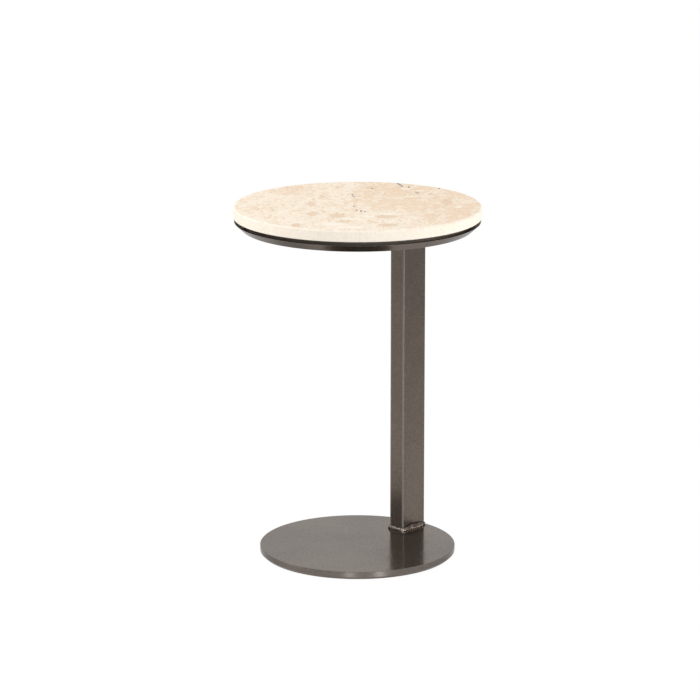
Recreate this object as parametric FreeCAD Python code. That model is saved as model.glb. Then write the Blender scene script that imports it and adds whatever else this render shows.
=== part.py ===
import FreeCAD, Part
import math
import os

from FreeCAD import Vector

# A round laptop side table: a stone top bonded to a board in a flared steel tray, one rectangular
# column at the rim, and a round steel base on low floor glides.
# Millimetres, +Z up. The origin is the centre of the base, on the floor. The column is on the +Y side.

# Overall sizes
table_height = 580.0
stone_radius = 200.0
base_radius = 160.0

# Stone top
stone_thickness = 18.0
stone_top_chamfer = 2.0
stone_bottom_chamfer = 1.0

# Adhesive pads between the stone and the board
pad_count = 6
pad_thickness = 1.0
pad_side = 32.0
pad_ring_share = 0.7  # of the board's radius

# Board that fills the tray
board_thickness = 13.0
board_clearance = 3.0  # to the foot of the tray's wall
board_arris = 1.0

# Steel tray with a flared wall
tray_floor = 4.0
tray_wall = 3.0
tray_flare = 13.0  # how far the rim stands outside the floor's edge
tray_rim_inset = 1.0  # rim inside the stone's edge
tray_bend_radius = 1.5
tray_rim_arris = 0.4
shadow_gap = 6.0  # rim to stone

# Screws that hold the board down to the tray
screw_count = 6
screw_radius = 2.0
screw_clearance = 0.25
screw_edge_inset = 33.0  # screw circle inside the board's edge
screw_cover = 3.0  # board left above the tip
head_radius = 4.5
head_height = 2.6
head_chamfer = 0.8
socket_width = 2.5  # across flats
socket_depth = 1.5

# Column, a rectangular hollow section with its long side along the radius
column_depth = 55.0
column_width = 30.0
column_wall = 3.0
column_corner = 2.5
column_inner_corner = 1.0

# Base plate and floor glides
base_thickness = 13.0
base_arris = 0.8
base_low_chamfer = 4.0  # wide enough to see round the rim's foot
glide_count = 6
glide_radius = 12.0
glide_thickness = 1.0
glide_chamfer = 0.4
glide_edge_inset = 20.0  # glide circle inside the base's edge

# Hand-laid weld beads, thin where one stitch meets the next and full in its middle
foot_stitch_pitch = 12.5
foot_bead_end = 3.6
foot_bead_crown = 4.8
foot_bead_land = 0.4  # flat plate left between the bead and the base's arris
head_stitch_pitch = 25.0
head_bead_end = 2.6
head_bead_crown = 3.2

quarter_turn = 90.0
column_sides = 4
hex_sides = 6
level_match = 0.001

# Levels, from the top surface down and from the floor up
stone_bottom = table_height - stone_thickness
board_top = stone_bottom - pad_thickness
board_bottom = board_top - board_thickness
tray_bottom = board_bottom - tray_floor
rim_top = stone_bottom - shadow_gap
screw_tip = board_top - screw_cover
base_top = glide_thickness + base_thickness

# Radii that follow from the tray's flare
rim_radius = stone_radius - tray_rim_inset
tray_radius = rim_radius - tray_flare
flare_rise = rim_top - tray_bottom
wall_run = tray_wall * math.hypot(flare_rise, tray_flare) / flare_rise
wall_foot_radius = tray_radius + tray_flare * tray_floor / flare_rise - wall_run
board_radius = wall_foot_radius - board_clearance
screw_circle = board_radius - screw_edge_inset
pad_circle = board_radius * pad_ring_share
glide_circle = base_radius - glide_edge_inset

# The column stands as near the edge as its weld bead allows
column_edge_margin = foot_bead_crown + foot_bead_land + base_arris
column_y = min(base_radius, tray_radius) - column_edge_margin - column_depth / 2


def on_circle(radius, count, level, turn=0.0):
    """Evenly spaced points on a circle about the table's axis, turn being a part of one step."""
    step = 2 * math.pi / count
    angles = [math.pi / 2 + step * (index + turn) for index in range(count)]
    return [Vector(radius * math.cos(angle), radius * math.sin(angle), level) for angle in angles]


def lathe(edges):
    """Solid turned about the Z axis from a closed half section."""
    section = Part.Face(Part.Wire(edges))
    return section.revolve(Vector(0, 0, 0), Vector(0, 0, 1), 4 * quarter_turn)


def lines(places):
    """Straight edges through (radius, level) places."""
    points = [Vector(radius, 0, level) for radius, level in places]
    return [Part.makeLine(first, second) for first, second in zip(points, points[1:])]


def plate(radius, bottom, top, low_chamfer, high_chamfer):
    """Round plate about the Z axis with both its edges chamfered."""
    return lathe(lines([
        (0, bottom),
        (radius - low_chamfer, bottom),
        (radius, bottom + low_chamfer),
        (radius, top - high_chamfer),
        (radius - high_chamfer, top),
        (0, top),
        (0, bottom),
    ]))


def circles_at(shape, level, radius):
    """Circular edges of a turned shape at one level and radius."""
    found = []
    for edge in shape.Edges:
        box = edge.BoundBox
        flat = box.ZLength < level_match and abs(box.ZMin - level) < level_match
        if flat and abs(box.XMax - radius) < level_match:
            found.append(edge)
    return found


def make_base_plate():
    return plate(base_radius, glide_thickness, base_top, base_low_chamfer, base_arris)


def make_floor_glides():
    glide = lathe(lines([
        (0, 0),
        (glide_radius - glide_chamfer, 0),
        (glide_radius, glide_chamfer),
        (glide_radius, glide_thickness),
        (0, glide_thickness),
        (0, 0),
    ]))
    return [glide.translated(place) for place in on_circle(glide_circle, glide_count, 0)]


def column_bar(width, depth, corner):
    """Upright bar from the base to the tray with rounded long edges."""
    start = Vector(-width / 2, column_y - depth / 2, base_top)
    bar = Part.makeBox(width, depth, tray_bottom - base_top, start)
    boxes = [(edge, edge.BoundBox) for edge in bar.Edges]
    uprights = [edge for edge, box in boxes if box.ZLength > box.XLength + box.YLength]
    return bar.makeFillet(corner, uprights)


def make_column_tube():
    bore_width = column_width - 2 * column_wall
    bore_depth = column_depth - 2 * column_wall
    outside = column_bar(column_width, column_depth, column_corner)
    return outside.cut(column_bar(bore_width, bore_depth, column_inner_corner))


def bead_stitch(start, along, outward, up, run, end, crown):
    """One stitch of weld: a quarter barrel about the corner line between tube and plate."""
    far = start + along * run
    middle = start + along * (run / 2) + outward * crown
    near_rise = start + outward * end
    far_rise = far + outward * end
    edges = [
        Part.makeLine(start, near_rise),
        Part.Arc(near_rise, middle, far_rise).toShape(),
        Part.makeLine(far_rise, far),
        Part.makeLine(far, start),
    ]
    return Part.Face(Part.Wire(edges)).revolve(start, outward.cross(up), quarter_turn)


def bead_corner(start, pivot, outward, up, end):
    """Weld round one rounded corner of the tube."""
    slope = (outward + up).normalize()
    edges = [
        Part.makeLine(start, start + outward * end),
        Part.Arc(start + outward * end, start + slope * end, start + up * end).toShape(),
        Part.makeLine(start + up * end, start),
    ]
    return Part.Face(Part.Wire(edges)).revolve(pivot, Vector(0, 0, 1), quarter_turn)


def bead_ring(level, up, pitch, end, crown):
    """Closed weld bead round the column, lying on the plate at the given level."""
    centre = Vector(0, column_y, level)
    reaches = [column_width / 2, column_depth / 2]
    pieces = []
    for side in range(column_sides):
        angle = 2 * math.pi / column_sides * side
        outward = Vector(math.cos(angle), math.sin(angle), 0)
        along = Vector(-math.sin(angle), math.cos(angle), 0)
        reach = reaches[side % 2]
        half_run = reaches[(side + 1) % 2] - column_corner
        stitches = max(1, round(2 * half_run / pitch))
        run = 2 * half_run / stitches
        first = centre + outward * reach - along * half_run
        for index in range(stitches):
            start = first + along * (run * index)
            pieces.append(bead_stitch(start, along, outward, up, run, end, crown))
        last = centre + outward * reach + along * half_run
        pivot = last - outward * column_corner
        pieces.append(bead_corner(last, pivot, outward, up, end))
    return pieces[0].multiFuse(pieces[1:]).removeSplitter().Solids[0]


def make_base_weld():
    return bead_ring(base_top, Vector(0, 0, 1), foot_stitch_pitch, foot_bead_end, foot_bead_crown)


def make_tray_weld():
    return bead_ring(tray_bottom, Vector(0, 0, -1), head_stitch_pitch, head_bead_end, head_bead_crown)


def screw_places(level):
    """Screws stand half a step off the column's direction, so none meets the column."""
    return on_circle(screw_circle, screw_count, level, 1 / 2)


def make_top_tray():
    """Flat floor with a wall that flares out to a rim just inside the stone's edge."""
    tray = lathe(lines([
        (0, tray_bottom),
        (tray_radius, tray_bottom),
        (rim_radius, rim_top),
        (rim_radius - wall_run, rim_top),
        (wall_foot_radius, board_bottom),
        (0, board_bottom),
        (0, tray_bottom),
    ]))
    tray = tray.makeFillet(tray_bend_radius, circles_at(tray, tray_bottom, tray_radius))
    tray = tray.makeChamfer(tray_rim_arris, circles_at(tray, rim_top, rim_radius))
    for place in screw_places(tray_bottom):
        tray = tray.cut(Part.makeCylinder(screw_radius + screw_clearance, tray_floor, place))
    return tray


def make_core_board():
    board = plate(board_radius, board_bottom, board_top, board_arris, board_arris)
    for place in screw_places(board_bottom):
        board = board.cut(Part.makeCylinder(screw_radius, screw_tip - board_bottom, place))
    return board


def make_screw():
    """Low-head screw on the Z axis, head down, with its seat against the tray."""
    head_bottom = tray_bottom - head_height
    screw = lathe(lines([
        (0, screw_tip),
        (screw_radius, screw_tip),
        (screw_radius, tray_bottom),
        (head_radius, tray_bottom),
        (head_radius, head_bottom + head_chamfer),
        (head_radius - head_chamfer, head_bottom),
        (0, head_bottom),
        (0, screw_tip),
    ]))
    corner = socket_width / 2 / math.cos(math.pi / hex_sides)
    hexagon = on_circle(corner, hex_sides, head_bottom)
    socket = Part.Face(Part.makePolygon(hexagon + hexagon[:1])).extrude(Vector(0, 0, socket_depth))
    return screw.cut(socket)


def make_core_screws():
    screw = make_screw()
    return [screw.translated(place) for place in screw_places(0)]


def make_bond_pads():
    pad = Part.makeBox(pad_side, pad_side, pad_thickness, Vector(-pad_side / 2, -pad_side / 2, board_top))
    return [pad] + [pad.translated(place) for place in on_circle(pad_circle, pad_count, 0)]


def make_stone_top():
    return plate(stone_radius, stone_bottom, table_height, stone_bottom_chamfer, stone_top_chamfer)


def numbered(name, shapes):
    return {f"{name}_{index}": shape for index, shape in enumerate(shapes, 1)}


nodes = {
    "base_plate": make_base_plate(),
    "column_tube": make_column_tube(),
    "base_weld": make_base_weld(),
    "tray_weld": make_tray_weld(),
    "top_tray": make_top_tray(),
    "core_board": make_core_board(),
    "stone_top": make_stone_top(),
}
nodes.update(numbered("floor_glide", make_floor_glides()))
nodes.update(numbered("core_screw", make_core_screws()))
nodes.update(numbered("bond_pad", make_bond_pads()))

os.makedirs("parts", exist_ok=True)
for name, shape in nodes.items():
    shape.exportStep(f"parts/{name}.step")
    print(name, "solids", len(shape.Solids), "valid", shape.isValid(), "volume", round(shape.Volume))
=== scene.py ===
import bpy
import math
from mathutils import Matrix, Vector


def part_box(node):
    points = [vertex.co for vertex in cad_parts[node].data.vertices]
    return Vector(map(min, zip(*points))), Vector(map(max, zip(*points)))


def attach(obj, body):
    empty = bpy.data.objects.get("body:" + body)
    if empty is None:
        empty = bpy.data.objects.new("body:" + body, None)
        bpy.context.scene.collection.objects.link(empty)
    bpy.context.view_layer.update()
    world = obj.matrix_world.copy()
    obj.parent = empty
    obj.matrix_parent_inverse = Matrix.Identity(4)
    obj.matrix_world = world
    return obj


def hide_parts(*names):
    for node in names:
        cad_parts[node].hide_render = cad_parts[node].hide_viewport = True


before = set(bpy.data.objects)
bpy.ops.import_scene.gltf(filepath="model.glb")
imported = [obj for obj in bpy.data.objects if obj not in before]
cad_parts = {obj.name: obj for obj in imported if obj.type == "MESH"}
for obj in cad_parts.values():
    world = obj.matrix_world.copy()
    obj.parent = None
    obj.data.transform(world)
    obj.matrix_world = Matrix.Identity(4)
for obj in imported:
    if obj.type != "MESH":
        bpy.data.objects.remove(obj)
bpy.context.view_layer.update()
print("frame loaded,", len(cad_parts), "nodes")


class Wire:  # a socket that Python's operators can do sums on
    def __init__(self, graph, socket):
        self.graph = graph
        self.socket = socket

    def __add__(self, other):
        return self.graph.sum("ADD", self, other)

    def __sub__(self, other):
        return self.graph.sum("SUBTRACT", self, other)

    def __mul__(self, other):
        return self.graph.sum("MULTIPLY", self, other)

    def __truediv__(self, other):
        return self.graph.sum("DIVIDE", self, other)

    def __pow__(self, other):
        return self.graph.sum("POWER", self, other)

    def __radd__(self, other):
        return self.graph.sum("ADD", other, self)

    def __rsub__(self, other):
        return self.graph.sum("SUBTRACT", other, self)

    def __rmul__(self, other):
        return self.graph.sum("MULTIPLY", other, self)


class Graph:  # a node tree, for materials and for geometry alike
    def __init__(self, tree):
        self.tree = tree

    def add(self, kind, settings=None, sockets=None, out=0):
        node = self.tree.nodes.new(kind)
        for name, value in (settings or {}).items():
            setattr(node, name, value)
        for name, value in (sockets or {}).items():
            if isinstance(value, Wire):
                self.tree.links.new(value.socket, node.inputs[name])
            else:
                node.inputs[name].default_value = value
        return Wire(self, node.outputs[out]) if len(node.outputs) else node

    def sum(self, operation, *values):
        return self.add("ShaderNodeMath", {"operation": operation}, dict(enumerate(values)))

    def clamp(self, value):
        return self.add("ShaderNodeClamp", None, {"Value": value})

    def spread(self, value, low, high, first=0.0, last=1.0):  # low..high onto first..last, smoothly
        sockets = {"Value": value, "From Min": low, "From Max": high, "To Min": first, "To Max": last}
        return self.add("ShaderNodeMapRange", {"interpolation_type": "SMOOTHSTEP"}, sockets)

    def mix(self, factor, first, second):  # colours
        return self.add("ShaderNodeMix", {"data_type": "RGBA"}, {0: factor, 6: first, 7: second}, 2)

    def mixShaders(self, factor, first, second):
        return self.add("ShaderNodeMixShader", None, {0: factor, 1: first, 2: second})

    def distance(self, first, second):
        return self.add("ShaderNodeVectorMath", {"operation": "DISTANCE"}, {0: first, 1: second}, 1)

    def noise(self, place, scale, detail, roughness, distortion=0.0):
        sockets = {"Vector": place, "Scale": scale, "Detail": detail, "Roughness": roughness,
                   "Distortion": distortion}
        return self.add("ShaderNodeTexNoise", None, sockets)

    def scaled(self, place, scale):
        return self.add("ShaderNodeMapping", None, {0: place, 3: scale})

    def drawnOut(self, place, stretch, turn, shift):  # drawn out along an axis turned about Z
        sockets = {0: place, 1: shift, 2: (0, 0, turn), 3: (1, stretch, 1)}
        return self.add("ShaderNodeMapping", {"vector_type": "TEXTURE"}, sockets)

    def bump(self, strength, depth, height):
        sockets = {"Strength": strength, "Distance": depth, "Height": height}
        return self.add("ShaderNodeBump", None, sockets)


def linear(red, green, blue):  # a colour as seen on screen, 0 to 255, by the sRGB curve
    def one(value):
        value = value / 255
        return value / 12.92 if value <= 0.04045 else ((value + 0.055) / 1.055) ** 2.4
    return (one(red), one(green), one(blue), 1.0)


def newMaterial(name, shader):
    material = bpy.data.materials.new(name)
    material.use_nodes = True
    material.node_tree.nodes.clear()
    graph = Graph(material.node_tree)
    surface = shader(graph)
    graph.add("ShaderNodeOutputMaterial", None, {"Surface": surface})
    return material


def objectPlace(graph):
    return graph.add("ShaderNodeTexCoord", None, None, 3)


def dress(material, name):  # gives a CAD node its finish
    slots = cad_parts[name].data.materials
    slots.clear()
    slots.append(material)


# Camera, at the photograph's viewpoint

view = {
    "azimuth": 41.0,
    "distance": 5.448,
    "height": 1.685,
    "tilt": 13.86,  # degrees down
    "turn": 0.128,  # degrees left of the table's axis
    "lens": 177.8,
    "sensor": 36.0,
    "pixels": 700,
}

azimuth = math.radians(view["azimuth"])
cameraPlace = Vector((view["distance"] * math.sin(azimuth),
                      -view["distance"] * math.cos(azimuth), view["height"]))
cameraData = bpy.data.cameras.new("camera")
cameraData.lens = view["lens"]
cameraData.sensor_width = view["sensor"]
camera = bpy.data.objects.new("camera", cameraData)
camera.location = cameraPlace
camera.rotation_euler = (math.radians(90 - view["tilt"]), 0,
                         math.radians(view["azimuth"] + view["turn"]))
bpy.context.scene.collection.objects.link(camera)
bpy.context.scene.camera = camera
bpy.context.scene.view_settings.view_transform = "Standard"
print("camera placed")


# Floor, world and lamps

studio = {
    "floorHalf": 14.0,
    "floorLevel": -0.0002,
    "floorWhite": 0.86,
    "shadowShare": 0.03,  # how much of the floor's own light and shadow the eye sees
    "mirrorShare": 0.30,  # the same for reflections
    "poolMiddle": (-0.08, -0.09, 0.0),  # painted pool of light on the floor, as reflections show it: darker past poolNear
    "poolNear": 1.05,
    "poolFar": 2.10,
    "poolFade": 0.36,
    "dimMiddle": (-0.36, -0.02, 0.0),  # a painted shadow patch beside the foot, in reflections
    "dimNear": 0.08,
    "dimFar": 0.24,
    "dimFade": 0.35,
    "worldSeen": 1.01,
    "worldLight": 0.65,
}
white = (1, 1, 1, 1)
black = (0, 0, 0, 1)
lamps = {  # a mirrored one shows in metal and glass, and lights nothing else
    "key": {"place": (-2.15, -2.64, 3.4), "target": (0, 0, 0.45), "power": 100.0,
            "width": 2.4, "height": 2.4, "mirrored": False},
    "fill": {"place": (3.0, 1.15, 0.9), "target": (0, 0, 0.5), "power": 44.0,
             "width": 1.6, "height": 1.6, "mirrored": False},
    "leftStrip": {"place": (2.14, -3.38, 1.1), "target": (0, 0, 0.1), "power": 75.0,
                  "width": 0.4, "height": 1.9, "mirrored": True},
    "rightStrip": {"place": (3.67, -1.60, 1.1), "target": (0, 0, 0.1), "power": 105.0,
                   "width": 0.65, "height": 1.9, "mirrored": True},
    "beadStrip": {"place": (-2.54, -2.04, 2.24), "target": (0, 0.1, 0), "power": 18.0,
                  "width": 0.8, "height": 0.5, "mirrored": True},
}


def seenRays(graph):  # 1 where the eye looks, and 1 where a reflection or glass does
    path = graph.add("ShaderNodeLightPath").socket.node
    eye, glossy, through = [Wire(graph, path.outputs[name]) for name in
                            ("Is Camera Ray", "Is Glossy Ray", "Is Transmission Ray")]
    return eye, graph.sum("MAXIMUM", glossy, through)


def floorShader(graph):
    grey = studio["floorWhite"]
    plain = graph.add("ShaderNodeBsdfDiffuse", None, {"Color": (grey, grey, grey, 1)})
    bright = graph.add("ShaderNodeEmission", None, {"Color": white, "Strength": studio["worldSeen"]})
    eye, mirror = seenRays(graph)
    share = graph.sum("MAXIMUM", eye * (1 - studio["shadowShare"]),
                      mirror * (1 - studio["mirrorShare"]))
    floor = graph.mixShaders(share, plain, bright)
    place = objectPlace(graph)
    fromPool = graph.distance(place, studio["poolMiddle"])
    fromDim = graph.distance(place, studio["dimMiddle"])
    pool = graph.spread(fromPool, studio["poolNear"], studio["poolFar"], 0.0, studio["poolFade"])
    dim = graph.spread(fromDim, studio["dimNear"], studio["dimFar"], studio["dimFade"], 0.0)
    # painted shade on the floor, seen only in reflections: the pool's falloff and the dim patch
    paintedShade = graph.add("ShaderNodeEmission", None, {"Color": black, "Strength": 0.0})
    floor = graph.mixShaders((pool + dim) * mirror, floor, paintedShade)
    below = graph.add("ShaderNodeNewGeometry").socket.node.outputs["Backfacing"]
    clear = graph.add("ShaderNodeBsdfTransparent")  # shows only from under the floor
    return graph.mixShaders(Wire(graph, below), floor, clear)


def makeFloor():
    half = studio["floorHalf"]
    level = studio["floorLevel"]
    mesh = bpy.data.meshes.new("floor")
    corners = [(-half, -half, level), (half, -half, level), (half, half, level), (-half, half, level)]
    mesh.from_pydata(corners, [], [(0, 1, 2, 3)])
    floor = bpy.data.objects.new("floor", mesh)
    bpy.context.scene.collection.objects.link(floor)
    mesh.materials.append(newMaterial("floorWhite", floorShader))


def lightWorld():
    world = bpy.data.worlds.new("studio")
    bpy.context.scene.world = world
    world.use_nodes = True
    world.node_tree.nodes.clear()
    graph = Graph(world.node_tree)
    seen = graph.sum("MAXIMUM", *seenRays(graph))
    strength = seen * (studio["worldSeen"] - studio["worldLight"]) + studio["worldLight"]
    sky = graph.add("ShaderNodeBackground", None, {"Color": white, "Strength": strength})
    graph.add("ShaderNodeOutputWorld", None, {"Surface": sky})


def addLamp(name, look):
    data = bpy.data.lights.new(name, "AREA")
    data.energy = look["power"]
    data.shape = "RECTANGLE"
    data.size = look["width"]
    data.size_y = look["height"]
    lamp = bpy.data.objects.new(name, data)
    lamp.location = look["place"]
    aim = Vector(look["target"]) - Vector(look["place"])
    lamp.rotation_euler = aim.to_track_quat("-Z", "Y").to_euler()
    lamp.visible_glossy = look["mirrored"]
    lamp.visible_diffuse = not look["mirrored"]
    bpy.context.scene.collection.objects.link(lamp)


makeFloor()
lightWorld()
for lampName, lampLook in lamps.items():
    addLamp(lampName, lampLook)
print("studio lit")


# Lacquered steel of the base, the column and the tray

steel = {  # a span is the levels of a noise over which it comes in
    "colour": (0.147, 0.119, 0.098),
    "clouds": {"scale": 6.0, "detail": 3.0, "roughness": 0.55, "distortion": 0.4},
    "grain": {"scale": 300.0, "detail": 3.0, "roughness": 0.7},
    "grainShare": 0.65,  # of the tone, where clouds make the rest
    "toneSpan": (0.42, 0.58),
    "smudges": {"scale": 28.0, "detail": 5.0, "roughness": 0.6, "distortion": 1.2},
    "smudgeScale": (1, 1.6, 1),
    "smudgeSpan": (0.48, 0.70),
    "grainRoughness": 0.03,
    "peel": {"scale": 220.0, "detail": 2.0, "roughness": 0.5},
    "peelHeight": 0.02,
    "peelDepth": 0.0005,
    "haze": 0.16,
    "hazeRoughness": 0.5,
}
steelPieces = {
    "base_plate": {"edgeTint": 0.80, "roughness": 0.13, "smudge": 0.08, "grain": 0.20, "brushed": True},
    "column_tube": {"edgeTint": 0.72, "roughness": 0.22, "smudge": 0.06, "grain": 0.12, "cornerLight": True},
    "top_tray": {"edgeTint": 0.72, "roughness": 0.17, "smudge": 0.06, "grain": 0.12},
}
cornerHighlight = {  # painted highlight along the column's four upright corners, with rougher, less metallic paint there
    "colour": (0.205, 0.178, 0.160, 1),
    "roughness": 0.45,
    "widthX": 0.0042,
    "widthY": 0.0012,
    "gain": 2.5,
}
brushedRim = {  # lamps show in it as upright stripes
    "colour": (0.170, 0.158, 0.158, 1),
    "roughness": 0.38,
    "share": 0.35,
    "anisotropy": 0.95,
    "turn": 0.25,
    "start": 0.0008,  # inside the plate's edge
    "full": 0.0004,
}


def shade(colour, factor):
    return tuple(factor * part for part in colour) + (1,)


def nearEnd(graph, value, middle, half, width):  # 1 where a coordinate lies at or past either end
    off = graph.sum("ABSOLUTE", value - middle)
    return graph.spread(off, half - width, half)


# share of the painted corner highlight: 1 at the corners, reaching further across X than across Y
def cornerHighlightShare(graph, node, place):
    low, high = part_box(node)
    middle = (low + high) / 2
    parts = graph.add("ShaderNodeSeparateXYZ", None, {0: place}).socket.node
    alongX, alongY = [Wire(graph, parts.outputs[index]) for index in (0, 1)]
    atX = nearEnd(graph, alongX, middle.x, high.x - middle.x, cornerHighlight["widthX"])
    atY = nearEnd(graph, alongY, middle.y, high.y - middle.y, cornerHighlight["widthY"])
    return graph.clamp(atX * atY * cornerHighlight["gain"])


def withBrushedRim(graph, node, place, lacquer):
    brushed = graph.add("ShaderNodeBsdfPrincipled", None, {
        "Base Color": brushedRim["colour"],
        "Metallic": 1.0,
        "Roughness": brushedRim["roughness"],
        "Anisotropic": brushedRim["anisotropy"],
        "Anisotropic Rotation": brushedRim["turn"],
    })
    level = graph.add("ShaderNodeVectorMath", {"operation": "MULTIPLY"}, {0: place, 1: (1, 1, 0)})
    radius = graph.add("ShaderNodeVectorMath", {"operation": "LENGTH"}, {0: level}, 1)
    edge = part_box(node)[1].x
    share = graph.spread(radius, edge - brushedRim["start"], edge - brushedRim["full"])
    return graph.mixShaders(share * brushedRim["share"], lacquer, brushed)


def steelShader(node):
    look = steelPieces[node]

    def shader(graph):
        place = objectPlace(graph)
        clouds = graph.noise(place, **steel["clouds"])
        grain = graph.noise(place, **steel["grain"])
        smudges = graph.noise(graph.scaled(place, steel["smudgeScale"]), **steel["smudges"])
        tone = clouds * (1 - steel["grainShare"]) + grain * steel["grainShare"]
        colour = graph.mix(graph.spread(tone, *steel["toneSpan"]),
                           shade(steel["colour"], 1 - look["grain"]),
                           shade(steel["colour"], 1 + look["grain"]))
        smudged = graph.spread(smudges, *steel["smudgeSpan"]) * look["smudge"]
        roughness = look["roughness"] + smudged + grain * steel["grainRoughness"]
        metal = 1.0
        if look.get("cornerLight"):
            # painted highlight on the corners
            cornerLight = cornerHighlightShare(graph, node, place)
            colour = graph.mix(cornerLight, colour, cornerHighlight["colour"])
            roughness = roughness + cornerLight * cornerHighlight["roughness"]
            metal = 1 - cornerLight
        peel = graph.noise(place, **steel["peel"]) * steel["peelHeight"]
        tint = look["edgeTint"]
        lacquer = graph.add("ShaderNodeBsdfPrincipled", None, {
            "Base Color": colour,
            "Metallic": metal,
            "Roughness": roughness,
            "Specular Tint": (tint, tint, tint, 1),
            "Coat Weight": steel["haze"],
            "Coat Roughness": steel["hazeRoughness"],
            "Normal": graph.bump(1.0, steel["peelDepth"], peel),
        })
        return withBrushedRim(graph, node, place, lacquer) if look.get("brushed") else lacquer
    return shader


for name in steelPieces:
    dress(newMaterial("bronzeLacquer_" + name, steelShader(name)), name)
print("steel finished")


# Weld beads round the column, at its foot and its head

bead = {
    "footRadius": 0.0045,
    "headRadius": 0.0030,
    "rise": 1.4,  # how much taller the bead stands than it spreads
    "lift": 0.0012,  # off the plate, so that its toe is undercut
    "cornerRadius": 0.0025,
    "cornerSteps": 6,
    "ripplePitch": 0.0038,
    "rippleDepth": 0.0010,
    "ripplePower": 1.6,  # how sharply each ripple steps down to the next
    "rippleLag": 0.0026,  # how far its ends trail its crown
    "wander": 0.0004,  # of the ripples
    "wanderScale": 160.0,
    "wanderDetail": 2.0,
    "stitchPitch": 0.0207,
    "stitchSwell": 0.08,
    "stitchDrift": 0.007,
    "driftScale": 50.0,
    "driftDetail": 1.0,
    "lumps": {"scale": 230.0, "detail": 2.0, "roughness": 0.5},
    "lumpHeight": 0.0014,
    "sides": 20,
    "stepsPerRipple": 10,
    "seed": 4.0,
    # Where the hand slowed or hurried, in half sizes of the column and shares of the bead's radius
    "dwells": [
        {"place": (1.0, -0.13), "reach": 0.030, "share": 0.48},
        {"place": (1.0, 1.0), "reach": 0.012, "share": -0.35},
        {"place": (1.0, -1.0), "reach": 0.010, "share": -0.30},
    ],
}
beadInputs = {
    "Width": "NodeSocketFloat",
    "Depth": "NodeSocketFloat",
    "Corner": "NodeSocketFloat",
    "Radius": "NodeSocketFloat",
    "Place": "NodeSocketVector",
    "Finish": "NodeSocketMaterial",
    "Seed": "NodeSocketFloat",
}
beadLook = {
    "silver": (128, 122, 116),
    "bronze": (108, 96, 86),
    "scorched": (84, 74, 67),
    "tarnish": {"scale": 42.0, "detail": 2.0, "roughness": 0.5},
    "tarnishSpan": (0.42, 0.58),
    "heat": {"scale": 260.0, "detail": 4.0, "roughness": 0.6, "distortion": 0.5},
    "heatSpan": (0.35, 0.7),
    "roughness": 0.10,
    "heatRoughness": 0.12,
    "heatRoughSpan": (0.4, 0.7),
    "fine": {"scale": 1800.0, "detail": 3.0, "roughness": 0.6},
    "fineStrength": 0.12,
    "fineDepth": 0.0004,
    "edgeTint": (0.8, 0.8, 0.8, 1),
}


def beadPath(graph, given):  # a tube round the column, and how far along it each point lies
    oblong = graph.add("GeometryNodeCurvePrimitiveQuadrilateral", None,
                       {"Width": given["Width"], "Height": given["Depth"]})
    path = graph.add("GeometryNodeFilletCurve", {"mode": "POLY"},
                     {"Curve": oblong, "Radius": given["Corner"], "Count": bead["cornerSteps"]})
    step = bead["ripplePitch"] / bead["stepsPerRipple"]
    path = graph.add("GeometryNodeResampleCurve", {"mode": "LENGTH"}, {"Curve": path, "Length": step})
    along = graph.add("GeometryNodeSplineParameter", None, None, 1)
    keepAlong = graph.add("GeometryNodeCaptureAttribute", None, {"Geometry": path}).socket.node
    keepAlong.capture_items.new("FLOAT", "Along")
    graph.tree.links.new(along.socket, keepAlong.inputs[1])
    ring = graph.add("GeometryNodeCurvePrimitiveCircle", {"mode": "RADIUS"},
                     {"Resolution": bead["sides"], "Radius": given["Radius"]})
    tube = graph.add("GeometryNodeCurveToMesh", None,
                     {"Curve": Wire(graph, keepAlong.outputs[0]), "Profile Curve": ring})
    return tube, Wire(graph, keepAlong.outputs[1])


def beadHeight(graph, given, length, normal):  # how far the surface stands off the plain tube
    def alongNoise(scale, detail):
        return graph.add("ShaderNodeTexNoise", {"noise_dimensions": "1D"},
                         {"W": length * scale + given["Seed"], "Scale": 1.0, "Detail": detail})

    lean = graph.add("ShaderNodeSeparateXYZ", None, {0: normal}, 2)
    lagged = length + bead["rippleLag"] * (1 - lean * lean)
    wandering = alongNoise(bead["wanderScale"], bead["wanderDetail"]) * bead["wander"]
    phase = graph.sum("FRACT", (lagged + wandering) / bead["ripplePitch"])
    ripple = (1 - phase) ** bead["ripplePower"] * bead["rippleDepth"]
    drift = (alongNoise(bead["driftScale"], bead["driftDetail"]) - 0.5) * bead["stitchDrift"]
    stitch = graph.sum("COSINE", (length + drift) / bead["stitchPitch"] * (2 * math.pi))
    swell = (stitch * -0.5 - 0.5) * given["Radius"] * (2 * bead["stitchSwell"])
    here = graph.add("GeometryNodeInputPosition")
    lumps = (graph.noise(here, **bead["lumps"]) - 0.5) * bead["lumpHeight"]
    height = swell - bead["rippleDepth"] + ripple + lumps
    for dwell in bead["dwells"]:
        halfX, halfY = [part / 2 for part in dwell["place"]]
        spot = graph.add("ShaderNodeCombineXYZ", None,
                         {0: given["Width"] * halfX, 1: given["Depth"] * halfY})
        near = graph.spread(graph.distance(here, spot), 0.0, dwell["reach"], 1.0, 0.0)
        height = height + near * given["Radius"] * dwell["share"]
    return height


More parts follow.
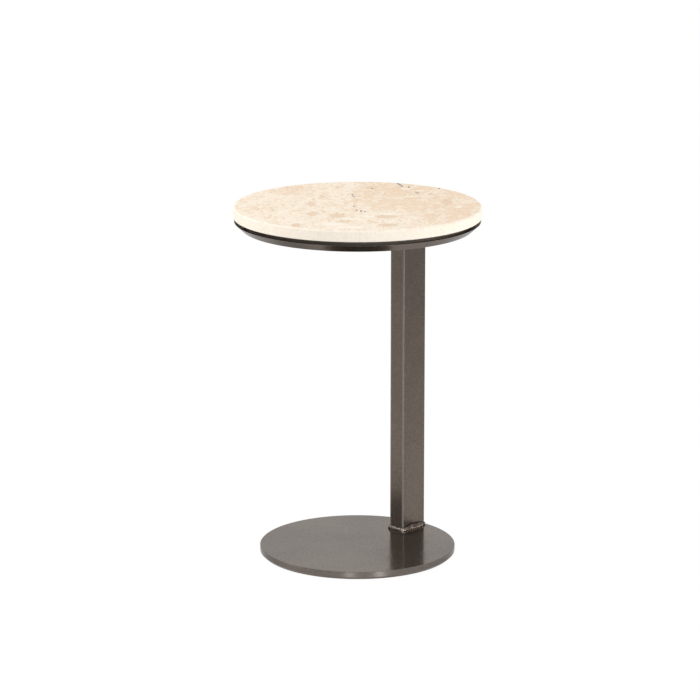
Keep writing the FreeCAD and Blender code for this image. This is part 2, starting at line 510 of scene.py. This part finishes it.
def beadTree():
    tree = bpy.data.node_groups.new("weldBead", "GeometryNodeTree")
    for name, kind in beadInputs.items():
        tree.interface.new_socket(name, in_out="INPUT", socket_type=kind)
    tree.interface.new_socket("Geometry", in_out="OUTPUT", socket_type="NodeSocketGeometry")
    graph = Graph(tree)
    entry = tree.nodes.new("NodeGroupInput")
    given = {socket.name: Wire(graph, socket) for socket in entry.outputs if socket.name}
    tube, length = beadPath(graph, given)
    normal = graph.add("GeometryNodeInputNormal")
    push = graph.add("ShaderNodeVectorMath", {"operation": "SCALE"},
                     {0: normal, "Scale": beadHeight(graph, given, length, normal)})
    shaped = graph.add("GeometryNodeSetPosition", None, {"Geometry": tube, "Offset": push})
    moved = graph.add("GeometryNodeTransform", None, {
        "Geometry": shaped, "Translation": given["Place"], "Scale": (1, 1, bead["rise"])})
    whole = graph.add("GeometryNodeRealizeInstances", None, {"Geometry": moved})
    smooth = graph.add("GeometryNodeSetShadeSmooth", None, {0: whole})
    done = graph.add("GeometryNodeSetMaterial", None, {"Geometry": smooth, "Material": given["Finish"]})
    graph.add("NodeGroupOutput", None, {0: done})
    return tree


def grow(name, tree, values):  # runs a geometry tree and keeps its result as a plain mesh
    piece = bpy.data.objects.new(name, bpy.data.meshes.new(name))
    bpy.context.scene.collection.objects.link(piece)
    modifier = piece.modifiers.new(name, "NODES")
    modifier.node_group = tree
    ids = {item.name: item.identifier for item in tree.interface.items_tree if item.in_out == "INPUT"}
    for key, value in values.items():
        modifier[ids[key]] = value
    piece.update_tag()
    depsgraph = bpy.context.evaluated_depsgraph_get()
    result = bpy.data.meshes.new_from_object(piece.evaluated_get(depsgraph))
    piece.modifiers.clear()
    piece.data = result
    return piece


def beadShader(graph):
    place = objectPlace(graph)
    heat = graph.noise(place, **beadLook["heat"])
    tarnish = graph.noise(place, **beadLook["tarnish"])
    colour = graph.mix(graph.spread(tarnish, *beadLook["tarnishSpan"]),
                       linear(*beadLook["silver"]), linear(*beadLook["bronze"]))
    colour = graph.mix(graph.spread(heat, *beadLook["heatSpan"]), colour, linear(*beadLook["scorched"]))
    rough = graph.spread(heat, *beadLook["heatRoughSpan"]) * beadLook["heatRoughness"]
    fine = graph.noise(place, **beadLook["fine"])
    return graph.add("ShaderNodeBsdfPrincipled", None, {
        "Base Color": colour,
        "Metallic": 1.0,
        "Roughness": beadLook["roughness"] + rough,
        "Specular Tint": beadLook["edgeTint"],
        "Normal": graph.bump(beadLook["fineStrength"], beadLook["fineDepth"], fine),
    })


def makeBeads():
    finish = newMaterial("weldLacquer", beadShader)
    low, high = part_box("column_tube")
    size = high - low
    middle = (low + high) / 2
    tree = beadTree()
    for name, node, radius, level in (
            ("footBead", "base_weld", bead["footRadius"], low.z + bead["lift"]),
            ("headBead", "tray_weld", bead["headRadius"], high.z - bead["lift"])):
        piece = grow(name, tree, {
            "Width": size.x,
            "Depth": size.y,
            "Corner": bead["cornerRadius"],
            "Radius": radius,
            "Place": (middle.x, middle.y, level),
            "Finish": finish,
            "Seed": bead["seed"],
        })
        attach(piece, "root")
        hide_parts(node)
        print(name, len(piece.data.polygons), "faces")


makeBeads()


# Stone top: honed cream limestone with eased arrises, pits and a fissure

stone = {
    "topArris": 0.0020,
    "bottomArris": 0.0010,
    "margin": 0.0040,  # from the edge to where the flat faces begin
    "ease": 0.0006,
    "easeSteps": 4,
    "rings": 140,
    "segments": 560,
    "sideSteps": 6,
    "pitDepth": 0.0005,
    "markSkin": 0.004,  # how far a mark reaches into another face
    "markReach": 1.5,  # half sizes past which a mark is gone
    "cell": 0.010,  # of the grid that finds the points near a mark
}
stoneMarks = {  # pixel x and y in the photograph, half width and half depth in millimetres, strength
    "warm": [
        (388, 193, 62, 152, 1.0), (440, 200, 86, 168, 1.0), (452, 213, 60, 116, 1.0),
        (300, 190, 90, 60, 0.5), (262, 207, 40, 70, 0.4), (345, 203, 56, 120, 0.45),
    ],
    "tan": [
        (295.8, 225.1, 8, 16, 1.1), (293.8, 217.8, 4, 12, 0.5), (312.5, 213.8, 12, 18, 0.95),
        (324.2, 211.3, 4, 14, 0.7), (337.5, 215.5, 14, 21, 1.0), (344.2, 221.3, 13, 16, 0.8),
        (325.8, 219.7, 9, 10, 0.5), (310.8, 203.8, 9, 22, 0.9), (313.3, 199.7, 4, 20, 0.6),
        (322.5, 196.8, 7, 16, 0.7), (301.7, 210.1, 6, 14, 0.4), (281.7, 204.7, 13, 15, 0.4),
        (273.3, 210.1, 6, 14, 0.4), (261.7, 209.7, 5, 14, 0.4), (265.0, 201.3, 5, 14, 0.4),
        (292.5, 188.4, 17, 21, 0.5), (246.7, 205.5, 6, 18, 0.4), (338.8, 186.8, 8, 14, 0.6),
        (371.5, 188.0, 12, 12, 0.7), (446.7, 202.2, 11, 32, 0.85), (443.3, 197.2, 8, 18, 0.3),
        (384.2, 193.8, 7, 14, 0.6), (406.7, 194.5, 8, 15, 0.4), (413.3, 213.8, 12, 18, 0.5),
        (425.8, 219.7, 12, 12, 0.4), (385.0, 216.8, 18, 13, 1.35), (387.5, 225.1, 16, 12, 1.3),
        (374.2, 222.6, 7, 10, 0.6),
        (357.0, 200.0, 2.2, 7, 1.4), (356.0, 202.0, 2.2, 7, 1.4),  # the fissure
        (354.6, 204.2, 2.2, 8, 1.4), (355.2, 197.8, 2.0, 6, 1.2),
    ],
    "cream": [
        (405, 189, 10, 6, 0.8), (413, 196.5, 15, 5, 0.8), (386, 213.9, 21, 5, 0.9),
        (367.5, 207.2, 7, 4, 0.8), (369, 216.5, 12, 6, 0.7), (392, 221.5, 9, 6, 0.7),
        (458, 207, 9, 7, 0.7), (420, 190.5, 8, 6, 0.6), (331, 224, 30, 14, 0.6),
        (352, 227, 26, 12, 0.7), (352, 219, 20, 8, 0.6), (300, 222, 16, 10, 0.4),
    ],
    "pit": [
        (352.3, 194.6, 1.3, 8, 1.0), (353.6, 196.3, 1.8, 4, 1.0), (353.9, 206.3, 1.8, 4, 0.9),
        (356.6, 210.3, 1.7, 4, 0.9), (361.1, 210.9, 1.9, 6, 1.0), (365.0, 211.5, 2.0, 4, 0.8),
        (372.0, 188.4, 2.0, 4, 0.9), (397.8, 183.4, 2.4, 5, 1.0), (399.2, 184.2, 1.7, 5, 1.0),
        (400.4, 184.9, 1.7, 5, 1.0), (401.5, 185.6, 1.6, 4, 0.9), (402.4, 186.1, 1.6, 5, 1.0),
        (408.8, 187.0, 1.8, 7, 1.0), (416.0, 192.0, 1.7, 5, 0.9), (417.7, 193.0, 1.7, 5, 1.0),
        (430.7, 193.4, 1.4, 3, 0.7), (439.3, 188.4, 1.8, 5, 1.0),
    ],
}
sideMarks = {  # the same on the upright side
    "tan": [
        (363, 234.5, 7, 2.5, 0.7), (322, 235, 1.6, 4, 0.6), (277, 232.5, 5, 2, 0.6),
        (452.6, 230.8, 3, 2, 0.7),
    ],
}
stoneNoises = {  # those with a stretch are drawn out along the stone's bedding
    "broad": {"scale": 16.0, "detail": 4.0, "roughness": 0.6, "distortion": 0.6},
    "mottle": {"scale": 84.0, "detail": 4.0, "roughness": 0.66, "distortion": 0.4, "stretch": 1.8},
    "fleck": {"scale": 190.0, "detail": 4.0, "roughness": 0.70, "distortion": 0.2, "stretch": 2.2,
              "turn": 0.3, "shift": (0.2, 0.6, 0)},
    "veil": {"scale": 80.0, "detail": 5.0, "roughness": 0.68, "distortion": 0.5, "stretch": 1.7,
             "turn": -0.4, "shift": (0.3, 0.1, 0)},
    "speckle": {"scale": 480.0, "detail": 3.0, "roughness": 0.65},
    "grit": {"scale": 1300.0, "detail": 3.0, "roughness": 0.6},
}
stoneLayers = {  # colour on screen, how much of it shows, and the levels over which it comes in
    "base": {"colour": (250, 237, 217)},
    "peach": {"colour": (242, 218, 191), "share": 1.0, "span": (0.28, 0.72)},
    "mottle": {"colour": (237, 209, 177), "share": 0.40, "span": (0.52, 0.56)},
    "fleck": {"colour": (230, 200, 166), "share": 0.60, "span": (0.52, 0.56)},
    "veil": {"colour": (253, 242, 225), "share": 0.55, "span": (0.51, 0.56)},
    "tan": {"colour": (226, 197, 165), "share": 0.72, "span": (0.35, 0.70), "limit": (0.04, 0.25)},
    "cream": {"colour": (255, 247, 233), "share": 0.9, "span": (0.30, 0.65), "limit": (0.04, 0.20)},
    # painted light: the upright side lighter and paler than the top
    "side": {"colour": (250, 242, 229), "share": 0.7},
    "speckle": {"colour": (222, 198, 170), "share": 0.30, "span": (0.54, 0.66)},
    # painted highlight on the top and bottom arrises
    "arris": {"colour": (255, 250, 240), "share": 0.5},
    # painted shade: the pits are greyed, besides being sunk into the top
    "pit": {"colour": (128, 128, 132), "share": 1.0, "span": (0.34, 0.50)},
}
stoneLook = {
    "broadPull": 0.9,  # how far the noises move the edge of the warm part
    "mottlePull": 0.5,
    "warmMottle": 0.25,  # more mottle in the warm part
    "fleckPull": 2.4,  # how far the noises move the edges of the placed marks
    "specklePull": 1.0,
    "pitPull": 0.5,
    "gritShare": 0.4,  # of the bump, where speckle makes the rest
    "bumpStrength": 0.10,
    "bumpDepth": 0.0004,
    "roughness": 0.46,
    "speckleRoughness": 0.12,
    "shine": 0.35,
}
millimetres = 1000  # in a metre


def photoRay(pixelX, pixelY):
    half = view["pixels"] / 2
    focal = view["lens"] / view["sensor"] * view["pixels"]
    ray = Vector(((pixelX - half) / focal, (half - pixelY) / focal, -1.0))
    ray.rotate(camera.rotation_euler)
    return ray


def onTop(pixelX, pixelY, level):  # the place on a level surface that a pixel of the photograph shows
    ray = photoRay(pixelX, pixelY)
    return cameraPlace + ray * ((level - cameraPlace.z) / ray.z)


def onSide(pixelX, pixelY, radius):  # the same on the near side of an upright cylinder about the axis
    ray = photoRay(pixelX, pixelY)
    square = ray.x ** 2 + ray.y ** 2
    half = cameraPlace.x * ray.x + cameraPlace.y * ray.y
    rest = cameraPlace.x ** 2 + cameraPlace.y ** 2 - radius ** 2
    return cameraPlace + ray * ((-half - math.sqrt(half ** 2 - square * rest)) / square)


def easedCorner(before, corner, after):  # rounds one corner of an outline
    start = corner + (before - corner).normalized() * stone["ease"]
    end = corner + (after - corner).normalized() * stone["ease"]
    points = []
    for index in range(stone["easeSteps"] + 1):
        part = index / stone["easeSteps"]
        points.append(start * (1 - part) ** 2 + corner * (2 * part * (1 - part)) + end * part ** 2)
    return points


def stoneOutline(radius, bottom, top):  # radius and level, from the top's flat round to the bottom's
    high = stone["topArris"]
    low = stone["bottomArris"]
    inner = radius - stone["margin"]
    corners = [Vector(pair) for pair in (
        (inner, top), (radius - high, top), (radius, top - high),
        (radius, bottom + low), (radius - low, bottom), (inner, bottom))]
    outline = [corners[0]]
    for before, corner, after in zip(corners, corners[1:], corners[2:]):
        if outline[-1].x == radius:  # fills the upright side with level rows
            foot = corner + (before - corner).normalized() * stone["ease"]
            start = outline[-1]
            steps = stone["sideSteps"]
            outline += [start.lerp(foot, index / steps) for index in range(1, steps)]
        outline += easedCorner(before, corner, after)
    outline.append(corners[-1])
    return outline


def placedMarks(radius, top):  # centre, two directions, two half sizes in metres, and strength
    across = Vector((math.cos(azimuth), math.sin(azimuth), 0))
    away = Vector((-math.sin(azimuth), math.cos(azimuth), 0))
    up = Vector((0, 0, 1))
    marks = {}
    for kind, rows in stoneMarks.items():
        marks[kind] = [
            (onTop(x, y, top), across, away, wide / millimetres, deep / millimetres, strength)
            for x, y, wide, deep, strength in rows]
    for kind, rows in sideMarks.items():
        for x, y, wide, tall, strength in rows:
            centre = onSide(x, y, radius)
            level = up.cross(Vector((centre.x, centre.y, 0)).normalized())
            marks[kind].append(
                (centre, level, up, wide / millimetres, tall / millimetres, strength))
    return marks


def markStrengths(points, marks):  # how strongly each kind of mark shows at each point
    cell = stone["cell"]
    cells = {}
    for index, point in enumerate(points):
        key = (math.floor(point[0] / cell), math.floor(point[1] / cell))
        cells.setdefault(key, []).append(index)
    strengths = {kind: [0.0] * len(points) for kind in marks}
    for kind, rows in marks.items():
        found = strengths[kind]
        for centre, across, along, wide, deep, strength in rows:
            skin = across.cross(along)
            reach = math.ceil(stone["markReach"] * max(wide, deep) / cell)
            column = math.floor(centre.x / cell)
            row = math.floor(centre.y / cell)
            near = [index for cellX in range(column - reach, column + reach + 1)
                    for cellY in range(row - reach, row + reach + 1)
                    for index in cells.get((cellX, cellY), ())]
            for index in near:
                off = Vector(points[index]) - centre
                square = (off.dot(across) / wide) ** 2 + (off.dot(along) / deep) ** 2
                square += (off.dot(skin) / stone["markSkin"]) ** 2
                found[index] = max(found[index], strength * math.exp(-square * square))
    return strengths


def stoneNoise(graph, place, name):
    look = dict(stoneNoises[name])
    turn = look.pop("turn", 0.0)
    shift = look.pop("shift", (0, 0, 0))
    if "stretch" in look:
        place = graph.drawnOut(place, look.pop("stretch"), azimuth + turn, shift)
    return graph.noise(place, **look)


def layOver(graph, colour, cover, name):  # lays one of the stone's colours over those below it
    layer = stoneLayers[name]
    return graph.mix(cover * layer["share"], colour, linear(*layer["colour"]))


def stoneShader(graph):
    place = objectPlace(graph)
    marks = {kind: graph.add("ShaderNodeAttribute", {"attribute_name": kind}, None, 2)
             for kind in ("warm", "tan", "cream", "pit", "side", "arris")}
    noises = {name: stoneNoise(graph, place, name) for name in stoneNoises}

    def centred(name):
        return noises[name] - 0.5

    def showing(value, name):
        return graph.spread(value, *stoneLayers[name]["span"])

    pull = centred("broad") * stoneLook["broadPull"] + centred("mottle") * stoneLook["mottlePull"]
    colour = linear(*stoneLayers["base"]["colour"])
    colour = layOver(graph, colour, showing(marks["warm"] + pull, "peach"), "peach")
    moreMottle = marks["warm"] * stoneLook["warmMottle"] + 1
    colour = layOver(graph, colour, showing(noises["mottle"], "mottle") * moreMottle, "mottle")
    for name in ("fleck", "veil"):
        colour = layOver(graph, colour, showing(noises[name], name), name)
    edge = centred("fleck") * stoneLook["fleckPull"] + centred("speckle") * stoneLook["specklePull"]
    for name in ("tan", "cream"):
        limit = graph.spread(marks[name], *stoneLayers[name]["limit"])
        colour = layOver(graph, colour, showing(marks[name] + edge, name) * limit, name)
    # painted light on the upright side
    colour = layOver(graph, colour, marks["side"], "side")
    colour = layOver(graph, colour, showing(noises["speckle"], "speckle"), "speckle")
    # painted highlight on the arrises
    colour = layOver(graph, colour, marks["arris"], "arris")
    # painted shade in the pits
    pitEdge = centred("speckle") * stoneLook["pitPull"]
    colour = layOver(graph, colour, showing(marks["pit"] + pitEdge, "pit"), "pit")
    gritShare = stoneLook["gritShare"]
    height = noises["grit"] * gritShare + noises["speckle"] * (1 - gritShare)
    return graph.add("ShaderNodeBsdfPrincipled", None, {
        "Base Color": colour,
        "Roughness": stoneLook["roughness"] + noises["speckle"] * stoneLook["speckleRoughness"],
        "Specular IOR Level": stoneLook["shine"],
        "Normal": graph.bump(stoneLook["bumpStrength"], stoneLook["bumpDepth"], height),
    })


def stonePoints(rings, top, bottom):  # the top's centre, ring after ring, and the bottom's centre
    points = [(0, 0, top)]
    for radius, level in rings:
        for index in range(stone["segments"]):
            angle = 2 * math.pi * index / stone["segments"]
            points.append((radius * math.cos(angle), radius * math.sin(angle), level))
    points.append((0, 0, bottom))
    return points


def stoneFaces(ringCount):
    count = stone["segments"]
    last = 1 + (ringCount - 1) * count
    faces = []
    for index in range(count):
        after = (index + 1) % count
        faces.append((0, 1 + index, 1 + after))
        for ring in range(ringCount - 1):
            start = 1 + ring * count
            faces.append((start + index, start + count + index, start + count + after, start + after))
        faces.append((last + index, last + count, last + after))
    return faces


def makeStone():
    low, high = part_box("stone_top")
    radius = (high.y - low.y) / 2
    outline = stoneOutline(radius, low.z, high.z)
    inner = outline[0].x
    rings = [(inner * (index + 1) / stone["rings"], high.z) for index in range(stone["rings"] - 1)]
    rings += [(point.x, point.y) for point in outline]
    points = stonePoints(rings, high.z, low.z)
    strengths = markStrengths(points, placedMarks(radius, high.z))
    flat = high.z - stone["topArris"]
    foot = low.z + stone["bottomArris"]
    # marks the upright side for its painted light
    strengths["side"] = [float(low.z < point[2] < flat) for point in points]
    strengths["arris"] = [float(flat < point[2] < high.z or low.z < point[2] < foot) for point in points]
    sunk = []
    for (x, y, level), pit in zip(points, strengths["pit"]):
        onFlat = math.hypot(x, y) < inner and level > flat
        sunk.append((x, y, level - pit * stone["pitDepth"] if onFlat else level))
    mesh = bpy.data.meshes.new("stoneSlab")
    mesh.from_pydata(sunk, [], stoneFaces(len(rings)))
    for kind, values in strengths.items():
        mesh.attributes.new(kind, "FLOAT", "POINT").data.foreach_set("value", values)
    mesh.shade_smooth()
    mesh.materials.append(newMaterial("honedLimestone", stoneShader))
    slab = bpy.data.objects.new("stoneSlab", mesh)
    bpy.context.scene.collection.objects.link(slab)
    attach(slab, "root")
    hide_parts("stone_top")
    print("stone slab", len(mesh.polygons), "faces")


makeStone()


# Hidden and small pieces

smallPieces = {  # start of the nodes' names: material, its two colours on screen and its surface
    "core_board": {"name": "blackBoard", "colour": (104, 92, 82), "spots": (122, 110, 99),
                   "roughness": 0.7, "metal": 0.0, "grain": 500.0},
    "core_screw": {"name": "blackenedScrew", "colour": (66, 64, 62), "spots": (90, 87, 84),
                   "roughness": 0.3, "metal": 1.0, "grain": 900.0},
    "bond_pad": {"name": "curedAdhesive", "colour": (214, 212, 205), "spots": (196, 193, 186),
                 "roughness": 0.5, "metal": 0.0, "grain": 300.0},
    "floor_glide": {"name": "glidePlastic", "colour": (34, 33, 33), "spots": (48, 47, 46),
                    "roughness": 0.55, "metal": 0.0, "grain": 800.0},
}
smallGrain = {
    "noise": {"detail": 4.0, "roughness": 0.6},
    "span": (0.4, 0.7),
    "roughness": 0.1,
    "bumpStrength": 0.15,
    "bumpDepth": 0.0005,
}


def smallShader(look):
    def shader(graph):
        grain = graph.noise(objectPlace(graph), look["grain"], **smallGrain["noise"])
        spotted = graph.spread(grain, *smallGrain["span"])
        return graph.add("ShaderNodeBsdfPrincipled", None, {
            "Base Color": graph.mix(spotted, linear(*look["colour"]), linear(*look["spots"])),
            "Metallic": look["metal"],
            "Roughness": look["roughness"] + grain * smallGrain["roughness"],
            "Normal": graph.bump(smallGrain["bumpStrength"], smallGrain["bumpDepth"], grain),
        })
    return shader


for start, look in smallPieces.items():
    finish = newMaterial(look["name"], smallShader(look))
    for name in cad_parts:
        if name.startswith(start):
            dress(finish, name)
print("small pieces finished")
